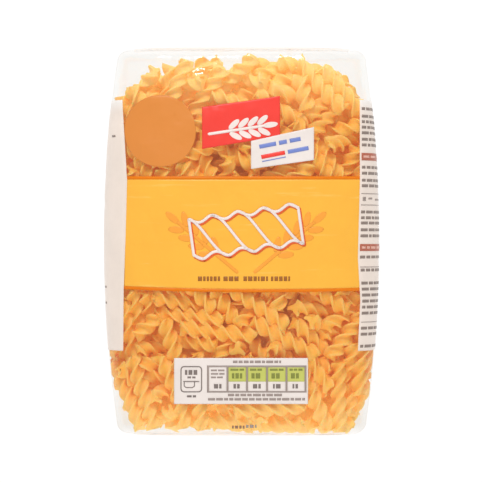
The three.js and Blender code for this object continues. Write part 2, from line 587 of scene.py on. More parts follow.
def twist_points(middle, along, length):
    """The vertices of one twist, ring by ring, then the middle of each end."""
    radius, angle = section()
    side = np.cross(along, (0.3, 0.2, 1.0))
    side /= np.linalg.norm(side)
    up = np.cross(along, side)
    t = np.linspace(-0.5, 0.5, TWIST_STEPS + 1)
    pitch = TWIST_PITCH * rng.uniform(*PITCH_SPREAD)
    turn = 2 * math.pi * length * t / pitch + rng.uniform(0, 2 * math.pi)
    bend = rng.normal() * BEND * (length / BEND_LENGTH) ** 2
    bend_way = rng.uniform(0, 2 * math.pi)
    lean = bend * (4 * t**2 - 0.33)
    size = rng.uniform(*SIZE_SPREAD)
    wobble = 1 + WOBBLE * np.sin(turn * rng.uniform(*WOBBLE_SPREAD) + rng.uniform(0, 6))
    flat_end = np.clip((np.abs(t) * 2 - CUT_FROM) / CUT_LENGTH, 0, 1)
    slant = rng.normal(size=2) * CUT_SLANT
    r = size * wobble[:, None] * radius[None]
    a = turn[:, None] + angle[None]
    x = r * np.cos(a) + (lean * math.cos(bend_way))[:, None]
    y = r * np.sin(a) + (lean * math.sin(bend_way))[:, None]
    tilt = np.where(t > 0, slant[0], slant[1])[:, None] * r * np.cos(a - bend_way)
    z = (length * t)[:, None] + flat_end[:, None] * tilt
    rings = middle + x[..., None] * side + y[..., None] * up + z[..., None] * along
    return np.concatenate([rings.reshape(-1, 3), rings[[0, -1]].mean(1)])


def tube_faces(rings, around):
    """The faces of a closed tube whose points come ring by ring, then a middle for each end."""
    faces = []
    last = (rings - 1) * around
    for low in range(0, last, around):
        high = low + around
        for i in range(around):
            j = (i + 1) % around
            faces.append((low + i, low + j, high + j, high + i))
    for i in range(around):
        j = (i + 1) % around
        faces.append((last + around, j, i))
        faces.append((last + around + 1, last + i, last + j))
    return faces


def build_twists():
    """All the twists, as three pieces from the front to the back of the bag."""
    middle, along, length = pack_twists()
    radius = section()[0]
    around = len(radius)
    # The painted crest highlight: 0 at the core and 1 at the blades' tips
    crest_ring = (radius - CORE_RADIUS) / (BLADE_RADIUS - CORE_RADIUS)
    crest_one = np.concatenate([np.tile(crest_ring, TWIST_STEPS + 1), [CAP_CREST, CAP_CREST]])
    size = len(crest_one)
    faces_one = tube_faces(TWIST_STEPS + 1, around)
    order = np.argsort(-middle[:, 2])
    pieces = []
    for name, chosen in zip(("pasta_front", "pasta_middle", "pasta_back"), np.array_split(order, 3)):
        vertices = np.concatenate([twist_points(middle[k], along[k], length[k]) for k in chosen])
        vertices = kept_inside(vertices)
        faces = [tuple(v + n * size for v in face) for n in range(len(chosen)) for face in faces_one]
        piece = make_mesh(name, vertices, faces, pasta_look)
        flat = np.tile([False] * (TWIST_STEPS * around) + [True] * (2 * around), len(chosen))
        piece.data.polygons.foreach_set("use_smooth", ~flat)
        for key, values in (
            ("crest_highlight", np.tile(crest_one, len(chosen))),
            ("tone", np.repeat(rng.beta(2, 2, len(chosen)), size)),
            ("shade", shade_inside(vertices)),
        ):
            attribute = piece.data.attributes.new(key, "FLOAT", "POINT")
            attribute.data.foreach_set("value", values.astype(np.float32))
        pieces.append(piece)
    return pieces


pasta = build_twists()


# The film

def panel_set_back(x, rise, width):
    """How far the end panel's skin lies in from the packet's end."""
    tuck = 1 - (width - np.abs(x)) / TUCK_REACH - np.abs(rise)
    return PANEL_BULGE * rise**2 + TUCK_DEPTH * np.maximum(0, tuck)


RING_SAMPLES = 4097


def ring(y, inset, scale):
    """Evenly spaced points round the bag, from the front's middle line towards +X."""
    angle = np.linspace(0, 2 * math.pi, RING_SAMPLES)
    power = 2 / squareness(y)
    width = half_width(y) - inset

    def height(rise):
        return np.maximum(0, centre_height(y) + (half_thickness(y) - inset) * rise)

    x = width * signed_power(np.sin(angle), power)
    rise = signed_power(np.cos(angle), power)
    passed = np.concatenate([[0], np.cumsum(np.hypot(np.diff(x), np.diff(height(rise))))])
    even = np.linspace(0, passed[-1], POINTS_AROUND, endpoint=False)
    x = np.interp(even, passed, x) * scale
    rise = np.interp(even, passed, rise) * scale
    on_panel = max(0.0, (abs(y) - HALF_LENGTH + EDGE_RADIUS) / EDGE_RADIUS)
    set_back = panel_set_back(x, rise, width) * on_panel
    return np.stack([x, y - math.copysign(1, y) * set_back, height(rise)], 1)


def half_stations():
    stations = [(HALF_LENGTH, EDGE_RADIUS, i / ROWS_ON_PANEL) for i in range(1, ROWS_ON_PANEL)]
    for i in range(ROWS_ON_EDGE):
        turn = math.pi / 2 * (1 - i / ROWS_ON_EDGE)
        y = HALF_LENGTH - EDGE_RADIUS * (1 - math.sin(turn))
        stations.append((y, EDGE_RADIUS * (1 - math.cos(turn)), 1.0))
    straight = HALF_LENGTH - EDGE_RADIUS
    for i in range(ROWS_ON_HALF):
        stations.append((straight * (1 - i / ROWS_ON_HALF), 0.0, 1.0))
    return stations


def film_rows():
    top = half_stations()
    bottom = [(-y, inset, scale) for y, inset, scale in top]
    return bottom + [(0.0, 0.0, 1.0)] + top[::-1]


def shifted(field, step, axis):
    """The field moved along its rows, which close round the bag, or across them, which don't."""
    if axis == 1:
        return np.roll(field, step, 1)
    out = np.roll(field, step, 0)
    if step > 0:
        out[:step] = field[0]
    else:
        out[step:] = field[-1]
    return out


def mean_of_neighbours(field):
    return sum(shifted(field, step, axis) for step in (-1, 1) for axis in (0, 1)) / 4


def grid_normals(points):
    along = shifted(points, -1, 0) - shifted(points, 1, 0)
    around = shifted(points, -1, 1) - shifted(points, 1, 1)
    return unit(np.cross(along, around), TINIEST)


# How the film is drawn over the twists. Rays run inwards from RAY_START outside its smooth form to
# RAY_DEPTH inside it, and points past OUTER_SHARE or OUTER_LENGTH count as near the film.
RAY_START = 20.0
RAY_DEPTH = 30.0
OUTER_SHARE = 0.9
OUTER_LENGTH = 97
FILM_MARGIN = 0.4
FILM_SLACK = -1.0
FILM_PULL = 0.003
FILM_ROUNDS = 260
MOST_LIFT = 1.6
LOOSE_FROM = (1.0, 6.0)
WRINKLES = 9
WRINKLE_HEIGHT = 0.2
WRINKLE_LENGTHS = (9, 26)
WRINKLE_BENDS = (14, 40)
# Small puckers near the top end that catch the light, as a pixel at PUCKER_PLANE and a width
FILM_PUCKERS = ((195, 77, 0.8), (203, 74.5, 1.0), (325, 81.5, 3.0))
PUCKER_SIZE = 1.5
PUCKER_HEIGHT = 0.55
PUCKER_PLANE = 50


def outer_vertices(piece):
    """A twist piece's vertices that lie near the film's smooth form."""
    vertices = np.empty(len(piece.data.vertices) * 3)
    piece.data.vertices.foreach_get("co", vertices)
    vertices = vertices.reshape(-1, 3) / MM
    x, y, z = vertices.T
    near = section_size(*place_in_section(x, y, z)) > OUTER_SHARE
    return vertices[near | (np.abs(y) > OUTER_LENGTH)]


def pasta_height(points, normals):
    """How far the twists reach past the film's smooth form, along its normals."""
    depsgraph = bpy.context.evaluated_depsgraph_get()
    trees = [BVHTree.FromObject(piece, depsgraph) for piece in pasta]
    flat_points = points.reshape(-1, 3)
    flat_normals = normals.reshape(-1, 3)
    start = (flat_points + flat_normals * RAY_START) * MM
    height = np.full(len(start), -RAY_DEPTH)
    for tree in trees:
        for i, (origin, direction) in enumerate(zip(start.tolist(), (-flat_normals).tolist())):
            distance = tree.ray_cast(origin, direction, (RAY_START + RAY_DEPTH) * MM)[3]
            if distance is not None:
                height[i] = max(height[i], RAY_START - distance / MM)
    near = KDTree(len(start))
    for i, point in enumerate(flat_points.tolist()):
        near.insert(point, i)
    near.balance()
    tips = np.concatenate([outer_vertices(piece) for piece in pasta])
    nearest = np.array([near.find(tip)[1] for tip in tips.tolist()])
    reach = np.sum((tips - flat_points[nearest]) * flat_normals[nearest], 1)
    np.maximum.at(height, nearest, reach)
    height = height.reshape(points.shape[:2])
    for axis in (0, 1):
        height = np.maximum(height, np.maximum(shifted(height, 1, axis), shifted(height, -1, axis)))
    return height


def wrinkles(points):
    """Shallow creases that run mostly along the bag."""
    x, y, z = np.moveaxis(points, 2, 0)
    total = np.zeros(x.shape)
    for _ in range(WRINKLES):
        way = rng.normal() * 0.5
        wave = 2 * math.pi / rng.uniform(*WRINKLE_LENGTHS)
        phase = rng.uniform(0, 6.28)
        bendy = 1.5 * np.sin(y / rng.uniform(*WRINKLE_BENDS) + rng.uniform(0, 6.28))
        line = np.sin((x + z) * wave * math.cos(way) + y * wave * math.sin(way) + phase + bendy)
        total += 1 - 2 * np.abs(line) ** 0.7
    return total / WRINKLES * 2


def drape():
    """The film's points: its smooth form, drawn taut over the twists."""
    base = np.array([ring(*station) for station in film_rows()])
    normals = grid_normals(base)
    outward = base - (0, 0, MIDDLE_HEIGHT)
    normals *= np.sign(np.sum(normals * outward))
    height = pasta_height(base, normals)
    floor = np.maximum(height + FILM_MARGIN, FILM_SLACK)
    lift = np.maximum(floor, 0)
    for _ in range(FILM_ROUNDS):
        lift = np.maximum(floor, mean_of_neighbours(lift) - FILM_PULL)
    loose = smooth_step(*LOOSE_FROM, lift - height)
    lift = np.minimum(lift + WRINKLE_HEIGHT * loose * wrinkles(base), MOST_LIFT)
    for px, py, width in FILM_PUCKERS:
        centre = plan_at_pixel((px, py), PUCKER_PLANE)
        apart = np.linalg.norm((base[..., :2] - centre) / (width, 1.0), axis=2) / PUCKER_SIZE
        lift = lift + PUCKER_HEIGHT * np.exp(-(apart**2) / 2) * (base[..., 2] > MIDDLE_HEIGHT)
    points = base + normals * lift[..., None]
    points[..., 2] = np.maximum(points[..., 2], 0)
    return points


film_points = drape()
film_normals = grid_normals(film_points)
if np.sum(film_normals * (film_points - (0, 0, MIDDLE_HEIGHT))) < 0:
    film_normals = -film_normals
film_ends = film_points[[0, -1]].mean(1)
film = make_mesh(
    "film",
    np.concatenate([film_points.reshape(-1, 3), film_ends]),
    tube_faces(len(film_points), POINTS_AROUND),
    film_look,
)
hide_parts("packet")


# The print, as thin patches that follow the film

# The front's grid of heights, and the height in metres at which its rays start
FRONT_STEP = 0.5
FRONT_REACH = (78, 109)
FRONT_RAY_START = 0.1
# A pixel's place on the front is found in rounds, from a first guess at its height
FIRST_GUESS = 54.0
GUESS_ROUNDS = 4
front_x, front_y = (np.arange(-reach, reach + FRONT_STEP, FRONT_STEP) for reach in FRONT_REACH)


def front_heights():
    """The film's front as heights on a square grid."""
    tree = BVHTree.FromObject(film, bpy.context.evaluated_depsgraph_get())
    heights = np.zeros((len(front_y), len(front_x)))
    down = Vector((0, 0, -1))
    for row, y in enumerate(front_y):
        for column, x in enumerate(front_x):
            start = Vector((x * MM, y * MM, FRONT_RAY_START))
            hit = tree.ray_cast(start, down, 2 * FRONT_RAY_START)[0]
            if hit is not None:
                heights[row, column] = hit.z / MM
    return heights


front_z = front_heights()


def between(grid, rows, columns):
    """A grid's values at fractional rows and columns."""
    row = np.clip(np.floor(rows).astype(int), 0, grid.shape[0] - 2)
    column = np.clip(np.floor(columns).astype(int), 0, grid.shape[1] - 2)
    down = (rows - row).reshape(rows.shape + (1,) * (grid.ndim - 2))
    across = (columns - column).reshape(rows.shape + (1,) * (grid.ndim - 2))
    low = grid[row, column] * (1 - across) + grid[row, column + 1] * across
    high = grid[row + 1, column] * (1 - across) + grid[row + 1, column + 1] * across
    return low * (1 - down) + high * down


def height_at(x, y):
    return between(front_z, (y - front_y[0]) / FRONT_STEP, (x - front_x[0]) / FRONT_STEP)


def on_front(pixels, lift):
    """The points on the film's front under the photograph's pixels, raised by lift."""
    height = np.full(pixels.shape[:-1], FIRST_GUESS)
    for _ in range(GUESS_ROUNDS):
        plan = plan_at_pixel(pixels, height)
        height = height_at(plan[..., 0], plan[..., 1])
    return np.concatenate([plan, height[..., None] + lift], -1)


row_y = np.array([station[0] for station in film_rows()])
straight_rows = np.nonzero(np.abs(row_y) < HALF_LENGTH - EDGE_RADIUS + 0.01)[0]
wrapped_points = np.concatenate([film_points, film_points[:, :1]], 1)
wrapped_normals = np.concatenate([film_normals, film_normals[:, :1]], 1)


def film_row(y):
    """Which of the film's rows, with its fraction, lies at a place along its straight part."""
    return np.interp(y, row_y[straight_rows], straight_rows)


def on_film(around, y, lift):
    """Points on the film at shares of the way round it, in rows that each lie at one y."""
    rows = np.broadcast_to(film_row(y)[:, None], around.shape)
    columns = np.mod(around, 1) * POINTS_AROUND
    normal = between(wrapped_normals, rows, columns)
    return between(wrapped_points, rows, columns) + normal * lift


def around_at(x, y):
    """The shares of the way round the film at which its front lies at each x and y."""
    steps = np.arange(POINTS_AROUND // 4 + 8)
    shares = []
    for one_x, one_y in zip(x, y):
        hand = 1 if one_x >= 0 else -1
        row = film_points[int(film_row(one_y) + 0.5)]
        share = np.interp(abs(one_x), np.abs(row[hand * steps, 0]), steps / POINTS_AROUND)
        shares.append(share if hand > 0 else 1 - share)
    return np.array(shares)


inks = {}
INK_THICKNESS = 0.08


def closed_sheet(outer, inner, start=0):
    """The faces of a thin closed sheet whose outer points come first, each side a grid."""
    rows, columns = outer.shape[:2]
    count = rows * columns
    faces = []
    for r in range(rows - 1):
        for c in range(columns - 1):
            low = start + r * columns + c
            high = low + columns
            faces.append((low, high, high + 1, low + 1))
            faces.append((low + count, low + 1 + count, high + 1 + count, high + count))
    grid = np.arange(start, start + count).reshape(rows, columns)
    rim = [*grid[0], *grid[1:, -1], *grid[-1, -2::-1], *grid[-2:0:-1, 0]]
    rim = [int(v) for v in rim]
    for a, b in zip(rim, rim[1:] + rim[:1]):
        faces.append((a, b, b + count, a + count))
    return np.concatenate([outer.reshape(-1, 3), inner.reshape(-1, 3)]), faces


def add_patch(ink, grid):
    """Adds a grid of points as a thin sheet of ink, outermost on the points."""
    normal = unit(np.cross(np.gradient(grid, axis=0), np.gradient(grid, axis=1)), TINIEST)
    if np.sum(normal * (grid - (0, 0, MIDDLE_HEIGHT))) < 0:
        grid, normal = grid[::-1], -normal[::-1]
    vertices, faces = inks.setdefault(ink, ([], []))
    start = sum(len(part) for part in vertices)
    sheet, sheet_faces = closed_sheet(grid, grid - normal * INK_THICKNESS, start)
    vertices.append(sheet)
    faces.extend(sheet_faces)


# The size of an ink patch's cells, in pixels, and how many rows and columns a side panel has
CELL = 1.6
SIDE_ROWS = 126
SIDE_COLUMNS = 48


def quad(ink, lift, corners):
    """A four-cornered patch. Its corners are pixels, in order round it."""
    a, b, c, d = np.array(corners, float)
    across = int(max(np.linalg.norm(b - a), np.linalg.norm(c - d)) / CELL) + 2
    down = int(max(np.linalg.norm(d - a), np.linalg.norm(c - b)) / CELL) + 2
    u = np.linspace(0, 1, across)[None, :, None]
    v = np.linspace(0, 1, down)[:, None, None]
    pixels = (a * (1 - u) + b * u) * (1 - v) + (d * (1 - u) + c * u) * v
    add_patch(ink, on_front(pixels, lift))


def bar(ink, lift, left, top, right, bottom):
    quad(ink, lift, ((left, top), (right, top), (right, bottom), (left, bottom)))


def oval(ink, lift, centre, radii, turn=0.0):
    """A filled oval, as a square grid drawn in to the oval's outline."""
    cells = max(6, int(2.2 * max(radii) / CELL))
    u, v = np.meshgrid(np.linspace(-1, 1, cells + 1), np.linspace(-1, 1, cells + 1))
    x = radii[0] * u * np.sqrt(1 - v**2 / 2)
    y = radii[1] * v * np.sqrt(1 - u**2 / 2)
    px = centre[0] + x * math.cos(turn) - y * math.sin(turn)
    py = centre[1] + x * math.sin(turn) + y * math.cos(turn)
    add_patch(ink, on_front(np.stack([px, py], -1), lift))


def stroke(ink, lift, path, width):
    """A line of a given width along a path of pixels, with round ends."""
    path = np.array(path, float)
    for end, inner in ((0, 1), (-1, -2)):
        way = path[end] - path[inner]
        path[end] += way / np.linalg.norm(way) * width * 0.4
    passed = np.concatenate([[0], np.cumsum(np.linalg.norm(np.diff(path, axis=0), axis=1))])
    steps = max(2, int(passed[-1] / (CELL * 0.6)) + 1)
    even = np.linspace(0, passed[-1], steps)
    line = np.stack([np.interp(even, passed, path[:, k]) for k in (0, 1)], 1)
    way = unit(np.gradient(line, axis=0))
    side = np.stack([-way[:, 1], way[:, 0]], 1)
    from_end = np.minimum(even, passed[-1] - even) / (width / 2)
    half = width / 2 * np.sqrt(1 - np.clip(1 - from_end, 0, 0.9) ** 2)
    across = np.linspace(-1, 1, max(3, int(width / CELL) + 2))
    pixels = line[:, None] + side[:, None] * (half[:, None] * across[None])[..., None]
    add_patch(ink, on_front(pixels, lift))


WORD_SHARE = (0.35, 1)
WORD_GAP = 1.2
LAST_WORD = 1.5


def words(ink, lift, left, right, top, bottom, longest=8.0):
    """A row of short bars of uneven length, like small print."""
    at = left
    while at < right - LAST_WORD:
        stop = min(right, at + rng.uniform(*WORD_SHARE) * longest)
        bar(ink, lift, at, top, stop, bottom)
        at = stop + WORD_GAP


def frame_outline(left, top, right, bottom, radius):
    """A closed path round a box with rounded corners, from the middle of its top side."""
    points = [((left + right) / 2, top)]
    centres = ((right, top, -1, 1), (right, bottom, -1, -1), (left, bottom, 1, -1), (left, top, 1, 1))
    for k, (x, y, inward, down) in enumerate(centres):
        for turn in np.linspace(0, math.pi / 2, 5) + (k - 1) * math.pi / 2:
            cx = x + inward * radius
            cy = y + down * radius
            points.append((cx + radius * math.cos(turn), cy + radius * math.sin(turn)))
    return points + points[:1]


def tilted(points, centre, degrees):
    """Points turned about a centre."""
    turn = math.radians(degrees)
    x, y = (np.array(points, float) - centre).T
    turned = [x * math.cos(turn) - y * math.sin(turn), x * math.sin(turn) + y * math.cos(turn)]
    return np.stack(turned, 1) + centre


# An ear of wheat's stalk and ear, as shares of its length, and its grains in sizes of one grain
STALK = 0.92
EAR_FROM = 0.36
EAR = 0.62
GRAIN_OUT = 0.62
GRAIN_UP = 0.4
GRAIN_LEAN = 0.6
GRAIN_RADII = (0.72, 0.3)
TIP_RADII = (0.8, 0.3)
STALK_WIDTH = 0.3


def wheat_ear(ink, lift, foot, degrees, length, grain):
    """A stalk with an ear of paired grains, as a plain flat drawing."""
    turn = -math.radians(degrees)
    way = np.array([math.cos(turn), math.sin(turn)])
    side = np.array([-way[1], way[0]])
    foot = np.array(foot, float)
    stroke(ink, lift, [foot, foot + way * length * STALK], grain * STALK_WIDTH)
    pairs = int(EAR * length / grain)
    for i in range(pairs):
        at = foot + way * length * (EAR_FROM + EAR * i / pairs)
        for hand in (-1, 1):
            centre = at + side * hand * grain * GRAIN_OUT + way * grain * GRAIN_UP
            oval(ink, lift, centre, grain * np.array(GRAIN_RADII), turn + hand * GRAIN_LEAN)
    oval(ink, lift, foot + way * length, grain * np.array(TIP_RADII), turn)


# Heights of the ink layers above the film
BASE_INK = 0.15
SECOND_INK = 0.27
THIRD_INK = 0.39
FOURTH_INK = 0.51
FIFTH_INK = 0.61

# The yellow band across the front, between two orange lines, in pixels
BAND_LEFT = 124
BAND_RIGHT = 362
BAND_TOP = 176.2
BAND_BOTTOM = (289.3, 292.3, 290.8)
BAND_LINE = 3.3

# The band's two faint ears of wheat, and its row of small print. An ear is its foot, its tilt in
# degrees, its length and the size of its grains.
BAND_EARS = (((237, 272), 140, 84, 11), ((255, 272), 40, 84, 11))
BAND_WORDS = ((198, 220), (223.5, 240), (243.5, 268), (271, 290))
BAND_WORDS_ROW = (276.5, 281, 4.5)

# The drawing of a twist on the band: its crests are this far apart and reach this far either way
DRAWING_MIDDLE = np.array([246.0, 231.5])
DRAWING_HALF_LENGTH = 55.0
DRAWING_TILT = -8
DRAWING_LINE = 2.8
CREST_REACH = 21.0
CREST_SPACING = 26.0
CREST_LEAN = 19.0
SCALLOP_DEPTH = 0.26
SCALLOP_SHARPNESS = 1.6
SHADOW_OFFSET = (1.4, 1.6)
SHADOW_LINE = 3.0

# The tan disc, the red panel with its ear of wheat, and the white tag by it
DISC = ((160, 131), (36, 36))
RED_CORNERS = ((202, 107), (280, 96), (280, 136), (202, 149))
RED_EAR = ((209, 134), 8.5, 62, 9.5)
TAG_CORNERS = ((251, 141), (314, 127), (314, 160), (251, 169))
TAG_MIDDLE = np.array([282.0, 148.0])
TAG_TILT = -11
# The tag's bars, as an ink, then left, top, right and bottom about the tag's middle
TAG_BARS = (
    ("print_blue", -22, -7.5, -5, -3.5),
    ("print_blue", -2, -7.5, 6, -3.5),
    ("print_blue", 9, -7.5, 20, -3.5),
    ("print_red", -22, 3, 2, 7),
    ("print_blue", -22, 9, 2, 10),
    ("print_blue", 5, 3, 26, 7),
)

# The white panel near the bottom. A box is its left, top, right and bottom, and a row of words is
# its left, right, top and bottom, with its longest word where that isn't the usual. The sign's
# frame ends with its corners' radius.
BOTTOM_PANEL = (174, 358, 308, 404)
SIGN_FRAME = (181, 366.6, 201.6, 391.8, 3)
SIGN_LINE = 1.1
SIGN_WORDS = ((185, 198, 370, 374.8, 4.5), (187.5, 195.5, 376.5, 378.3, 4))
PAN = ((184.2, 381.5), (184.2, 386), (186, 387.6), (192.5, 387.6), (194.5, 386), (194.5, 381.5))
PAN_RIM = ((183.5, 381.5), (199, 381.5))
PAN_LINE = 0.9
PAN_WORDS = (187, 196, 395.3, 397.3, 5)
TABLE = (207, 365.5, 306.5, 392.5)
TABLE_EDGES = (208, 227.5, 247, 267, 286.5, 305.5)
TABLE_LINE = 1
CELL_TOP = 367.3
CELL_BOTTOM = 391
GREEN_BOTTOM = 381.5
# What a cell holds, as an ink, a layer, a margin at each side, a top, a bottom and a longest word
FIGURES = ("print_dark", FOURTH_INK, 5, 384, 388.4, 5)
PLAIN_CELL = (
    ("print_grey", FOURTH_INK, 2, 369.5, 371.1),
    ("print_grey", FOURTH_INK, 2, 373, 374.6),
    ("print_grey", FOURTH_INK, 2, 376.5, 378.1),
    FIGURES,
)
GREEN_CELL = (
    ("print_olive", FIFTH_INK, 2, 368.6, 370.6),
    ("print_olive", FIFTH_INK, 3.5, 373.2, 378.4, 4.5),
    FIGURES,
)
PANEL_NOTES = ((233, 281, 360.6, 363), (228, 284, 393.8, 396.2), (208, 305, 398, 400.4))
# Two smudged rows of dashes on the clear film, where a date would be stamped
DATE_ROWS = (
    ("print_date", 232, 244.5, 425.6, 428.6, 4),
    ("print_grey", 246, 256.5, 424.8, 427.8, 4),
)


def band():
    left, middle, right = BAND_BOTTOM
    u = np.linspace(0, 1, int((BAND_RIGHT - BAND_LEFT) / CELL))
    px = BAND_LEFT + (BAND_RIGHT - BAND_LEFT) * u
    low = left * (1 - u) + right * u + (middle - (left + right) / 2) * 4 * u * (1 - u)
    high = np.full(len(px), BAND_TOP)
    for ink, top, bottom, count in (
        ("print_orange", high, high + BAND_LINE, 3),
        ("print_yellow", high + BAND_LINE, low - BAND_LINE, int((middle - BAND_TOP) / CELL)),
        ("print_orange", low - BAND_LINE, low, 3),
    ):
        v = np.linspace(0, 1, count)[:, None]
        grid = np.stack([np.broadcast_to(px, (count, len(px))), top * (1 - v) + bottom * v], -1)
        add_patch(ink, on_front(grid, BASE_INK))


def band_artwork():
    for ear in BAND_EARS:
        wheat_ear("print_faint", SECOND_INK, *ear)
    for left, right in BAND_WORDS:
        words("print_brown", SECOND_INK, left, right, *BAND_WORDS_ROW)


def drawn_curves():
    """The drawn twist's crests and its scalloped outline, about its own middle."""
    curves = []
    turn = np.linspace(-math.pi / 2, math.pi / 2, 40)
    for k in range(-2, 4):
        x = (k - 0.5) * CREST_SPACING + CREST_LEAN * turn / (math.pi / 2)
        seen = np.abs(x) <= DRAWING_HALF_LENGTH
        if seen.sum() > 6:
            curves.append(np.stack([x, CREST_REACH * np.sin(turn)], 1)[seen])
    x = np.linspace(-DRAWING_HALF_LENGTH, DRAWING_HALF_LENGTH, 140)
    edges = []
    for hand in (-1, 1):
        phase = (x - hand * CREST_LEAN) / CREST_SPACING + 0.5
        dip = np.abs(np.sin(math.pi * phase)) ** SCALLOP_SHARPNESS
        edges.append(np.stack([x, hand * CREST_REACH * (1 - SCALLOP_DEPTH * dip)], 1))
    curves += edges
    for end in (0, -1):
        curves.append(np.linspace(edges[0][end], edges[1][end], 20))
    return curves


def big_twist():
    """A drawing of one pasta twist in off-white strokes, with an orange-red shadow."""
    for curve in drawn_curves():
        curve = tilted(curve + DRAWING_MIDDLE, DRAWING_MIDDLE, DRAWING_TILT)
        stroke("print_shadow", THIRD_INK, curve + SHADOW_OFFSET, SHADOW_LINE)
        stroke("print_cream", FOURTH_INK, curve, DRAWING_LINE)


def red_panel():
    quad("print_red", BASE_INK, RED_CORNERS)
    wheat_ear("print_cream", SECOND_INK, *RED_EAR)


def white_tag():
    quad("print_white", SECOND_INK, TAG_CORNERS)
    for ink, left, top, right, bottom in TAG_BARS:
        box = np.array([(left, top), (right, top), (right, bottom), (left, bottom)])
        quad(ink, THIRD_INK, tilted(box + TAG_MIDDLE, TAG_MIDDLE, TAG_TILT))


def cooking_sign():
    """Bars above a pan's outline, in a rounded frame."""
    stroke("print_dark", SECOND_INK, frame_outline(*SIGN_FRAME), SIGN_LINE)
    for row in SIGN_WORDS:
        words("print_dark", SECOND_INK, *row)
    stroke("print_dark", SECOND_INK, PAN, PAN_LINE)
    stroke("print_dark", THIRD_INK, PAN_RIM, PAN_LINE)
    words("print_dark", SECOND_INK, *PAN_WORDS)


def table():
    """Five cells, four of them green above."""
    bar("print_grey", SECOND_INK, *TABLE)
    for k, (left, right) in enumerate(zip(TABLE_EDGES, TABLE_EDGES[1:])):
        left += TABLE_LINE
        right -= TABLE_LINE
        bar("print_white", THIRD_INK, left, CELL_TOP, right, CELL_BOTTOM)
        if k:
            bar("print_green", FOURTH_INK, left, CELL_TOP, right, GREEN_BOTTOM)
        for ink, lift, margin, *row in GREEN_CELL if k else PLAIN_CELL:
            words(ink, lift, left + margin, right - margin, *row)


def bottom_panel():
    bar("print_white", BASE_INK, *BOTTOM_PANEL)
    cooking_sign()
    table()
    for row in PANEL_NOTES:
        words("print_grey", SECOND_INK, *row)
    for ink, *row in DATE_ROWS:
        words(ink, BASE_INK, *row)


# White side panels, from their front edges round the sides to near the back's middle line. An edge
# is a list of rows and places across, in pixels. A side is an edge and which way is round from it.
PANEL_TOP = 100
PANEL_BOTTOM = 350.5
LEFT = (((100, 122.6), (110, 123), (180, 127.5), (235, 126), (290, 124), (351, 123.5)), -1)
RIGHT = (((100, 359.6), (180, 359.6), (258, 357.5), (300, 360), (351, 357.5)), 1)
BACK_GAP = 0.012
FILM_GIRTH = 358
SIDE_CELL = 0.8
# The heights at which the rows' pixels and the places across are taken to lie
ROW_HEIGHT = 45
EDGE_HEIGHT = 47

# The side panels' print. Rows and half heights are pixels, and places are millimetres round from
# the panel's front edge. A line is its half height and where it starts, a rule also where it ends,
# and a mark is its row and where it starts and ends.
RIGHT_LINES = (
    108.8, 116.3, 121.8, 127.3, 132.8, 139.3, 145, 167.3, 173.3, 180.3, 185.8, 212, 217.8, 223,
    229.8, 235.8, 257, 270, 283, 289, 295, 301, 307, 313, 328, 334, 346,
)
RIGHT_RULES = (193.7, 205, 267, 322)
RIGHT_MARKS = ((198, 2, 4), (200, 2, 4), (198.5, 6, 9), (199.5, 12, 20), (199.5, 24, 40))
RED_BLOCKS = ((156.75, 3.75), (247.5, 3.5))
LEFT_LINES = range(128, 330, 9)
LEFT_MARKS = ((136, 6, 9), (287, 14, 17), (303, 14, 17))
RIGHT_LINE = (1.4, 1.2)
BLOCK_LINE = (1.2, 2.2)
LEFT_LINE = (1.3, 30)
RULE = (0.35, 1.0, 49)
RIGHT_MARK = 0.9
LEFT_MARK = 1
LINE_LENGTH = 44
LONGEST_LINE = 47
SIDE_WORD = (2, 6)
SIDE_WORD_GAP = 0.9


def y_at_row(py):
    """The place along the packet of a row of pixels on the side panels."""
    return plan_at_pixel((IMAGE / 2, py), ROW_HEIGHT)[1]


def edge_share(edge, y):
    """Where a side panel's front edge lies, as a share of the way round the film."""
    rows = [y_at_row(py) for py, _ in edge][::-1]
    across = [plan_at_pixel((px, 0.0), EDGE_HEIGHT)[0] for _, px in edge][::-1]
    return around_at(np.interp(y, rows, across), y)


def side_panel(side):
    edge, hand = side
    y = np.linspace(y_at_row(PANEL_TOP), y_at_row(PANEL_BOTTOM), SIDE_ROWS)
    u = np.linspace(0, 1, SIDE_COLUMNS)[None]
    around = edge_share(edge, y)[:, None] * (1 - u) + (0.5 - hand * BACK_GAP) * u
    add_patch("print_white_thin", on_film(around, y, SECOND_INK))


def side_bar(ink, side, row, half_height, first, last, lift=THIRD_INK):
    """A bar on a side panel, from first to last millimetres round from the panel's front edge."""
    edge, hand = side
    top = row - half_height
    bottom = row + half_height
    y = np.linspace(y_at_row(top), y_at_row(bottom), int((bottom - top) / CELL) + 2)
    u = np.linspace(first, last, max(2, int((last - first) / SIDE_CELL)))[None] / FILM_GIRTH * hand
    add_patch(ink, on_film(edge_share(edge, y)[:, None] + u, y, lift))


def side_words(ink, side, row, half_height, first, lift=THIRD_INK):
    """A line of bars of uneven length on a side panel, like small print."""
    at = first
    while at < first + LINE_LENGTH:
        word = rng.uniform(*SIDE_WORD)
        side_bar(ink, side, row, half_height, at, min(at + word, first + LONGEST_LINE), lift)
        at += word + SIDE_WORD_GAP


def side_print():
    side_panel(LEFT)
    side_panel(RIGHT)
    for row in RIGHT_LINES:
        side_words("print_text", RIGHT, row, *RIGHT_LINE)
    for row, *ends in RIGHT_MARKS:
        side_bar("print_grey", RIGHT, row, RIGHT_MARK, *ends)
    for row in RIGHT_RULES:
        side_bar("print_grey", RIGHT, row, *RULE)
    for row, half_height in RED_BLOCKS:
        side_bar("print_maroon", RIGHT, row, half_height, *RULE[1:])
        side_words("print_blush", RIGHT, row, *BLOCK_LINE, FOURTH_INK)
    for row in LEFT_LINES:
        side_words("print_text", LEFT, row, *LEFT_LINE)
    for row, *ends in LEFT_MARKS:
        side_bar("print_text", LEFT, row, LEFT_MARK, *ends)


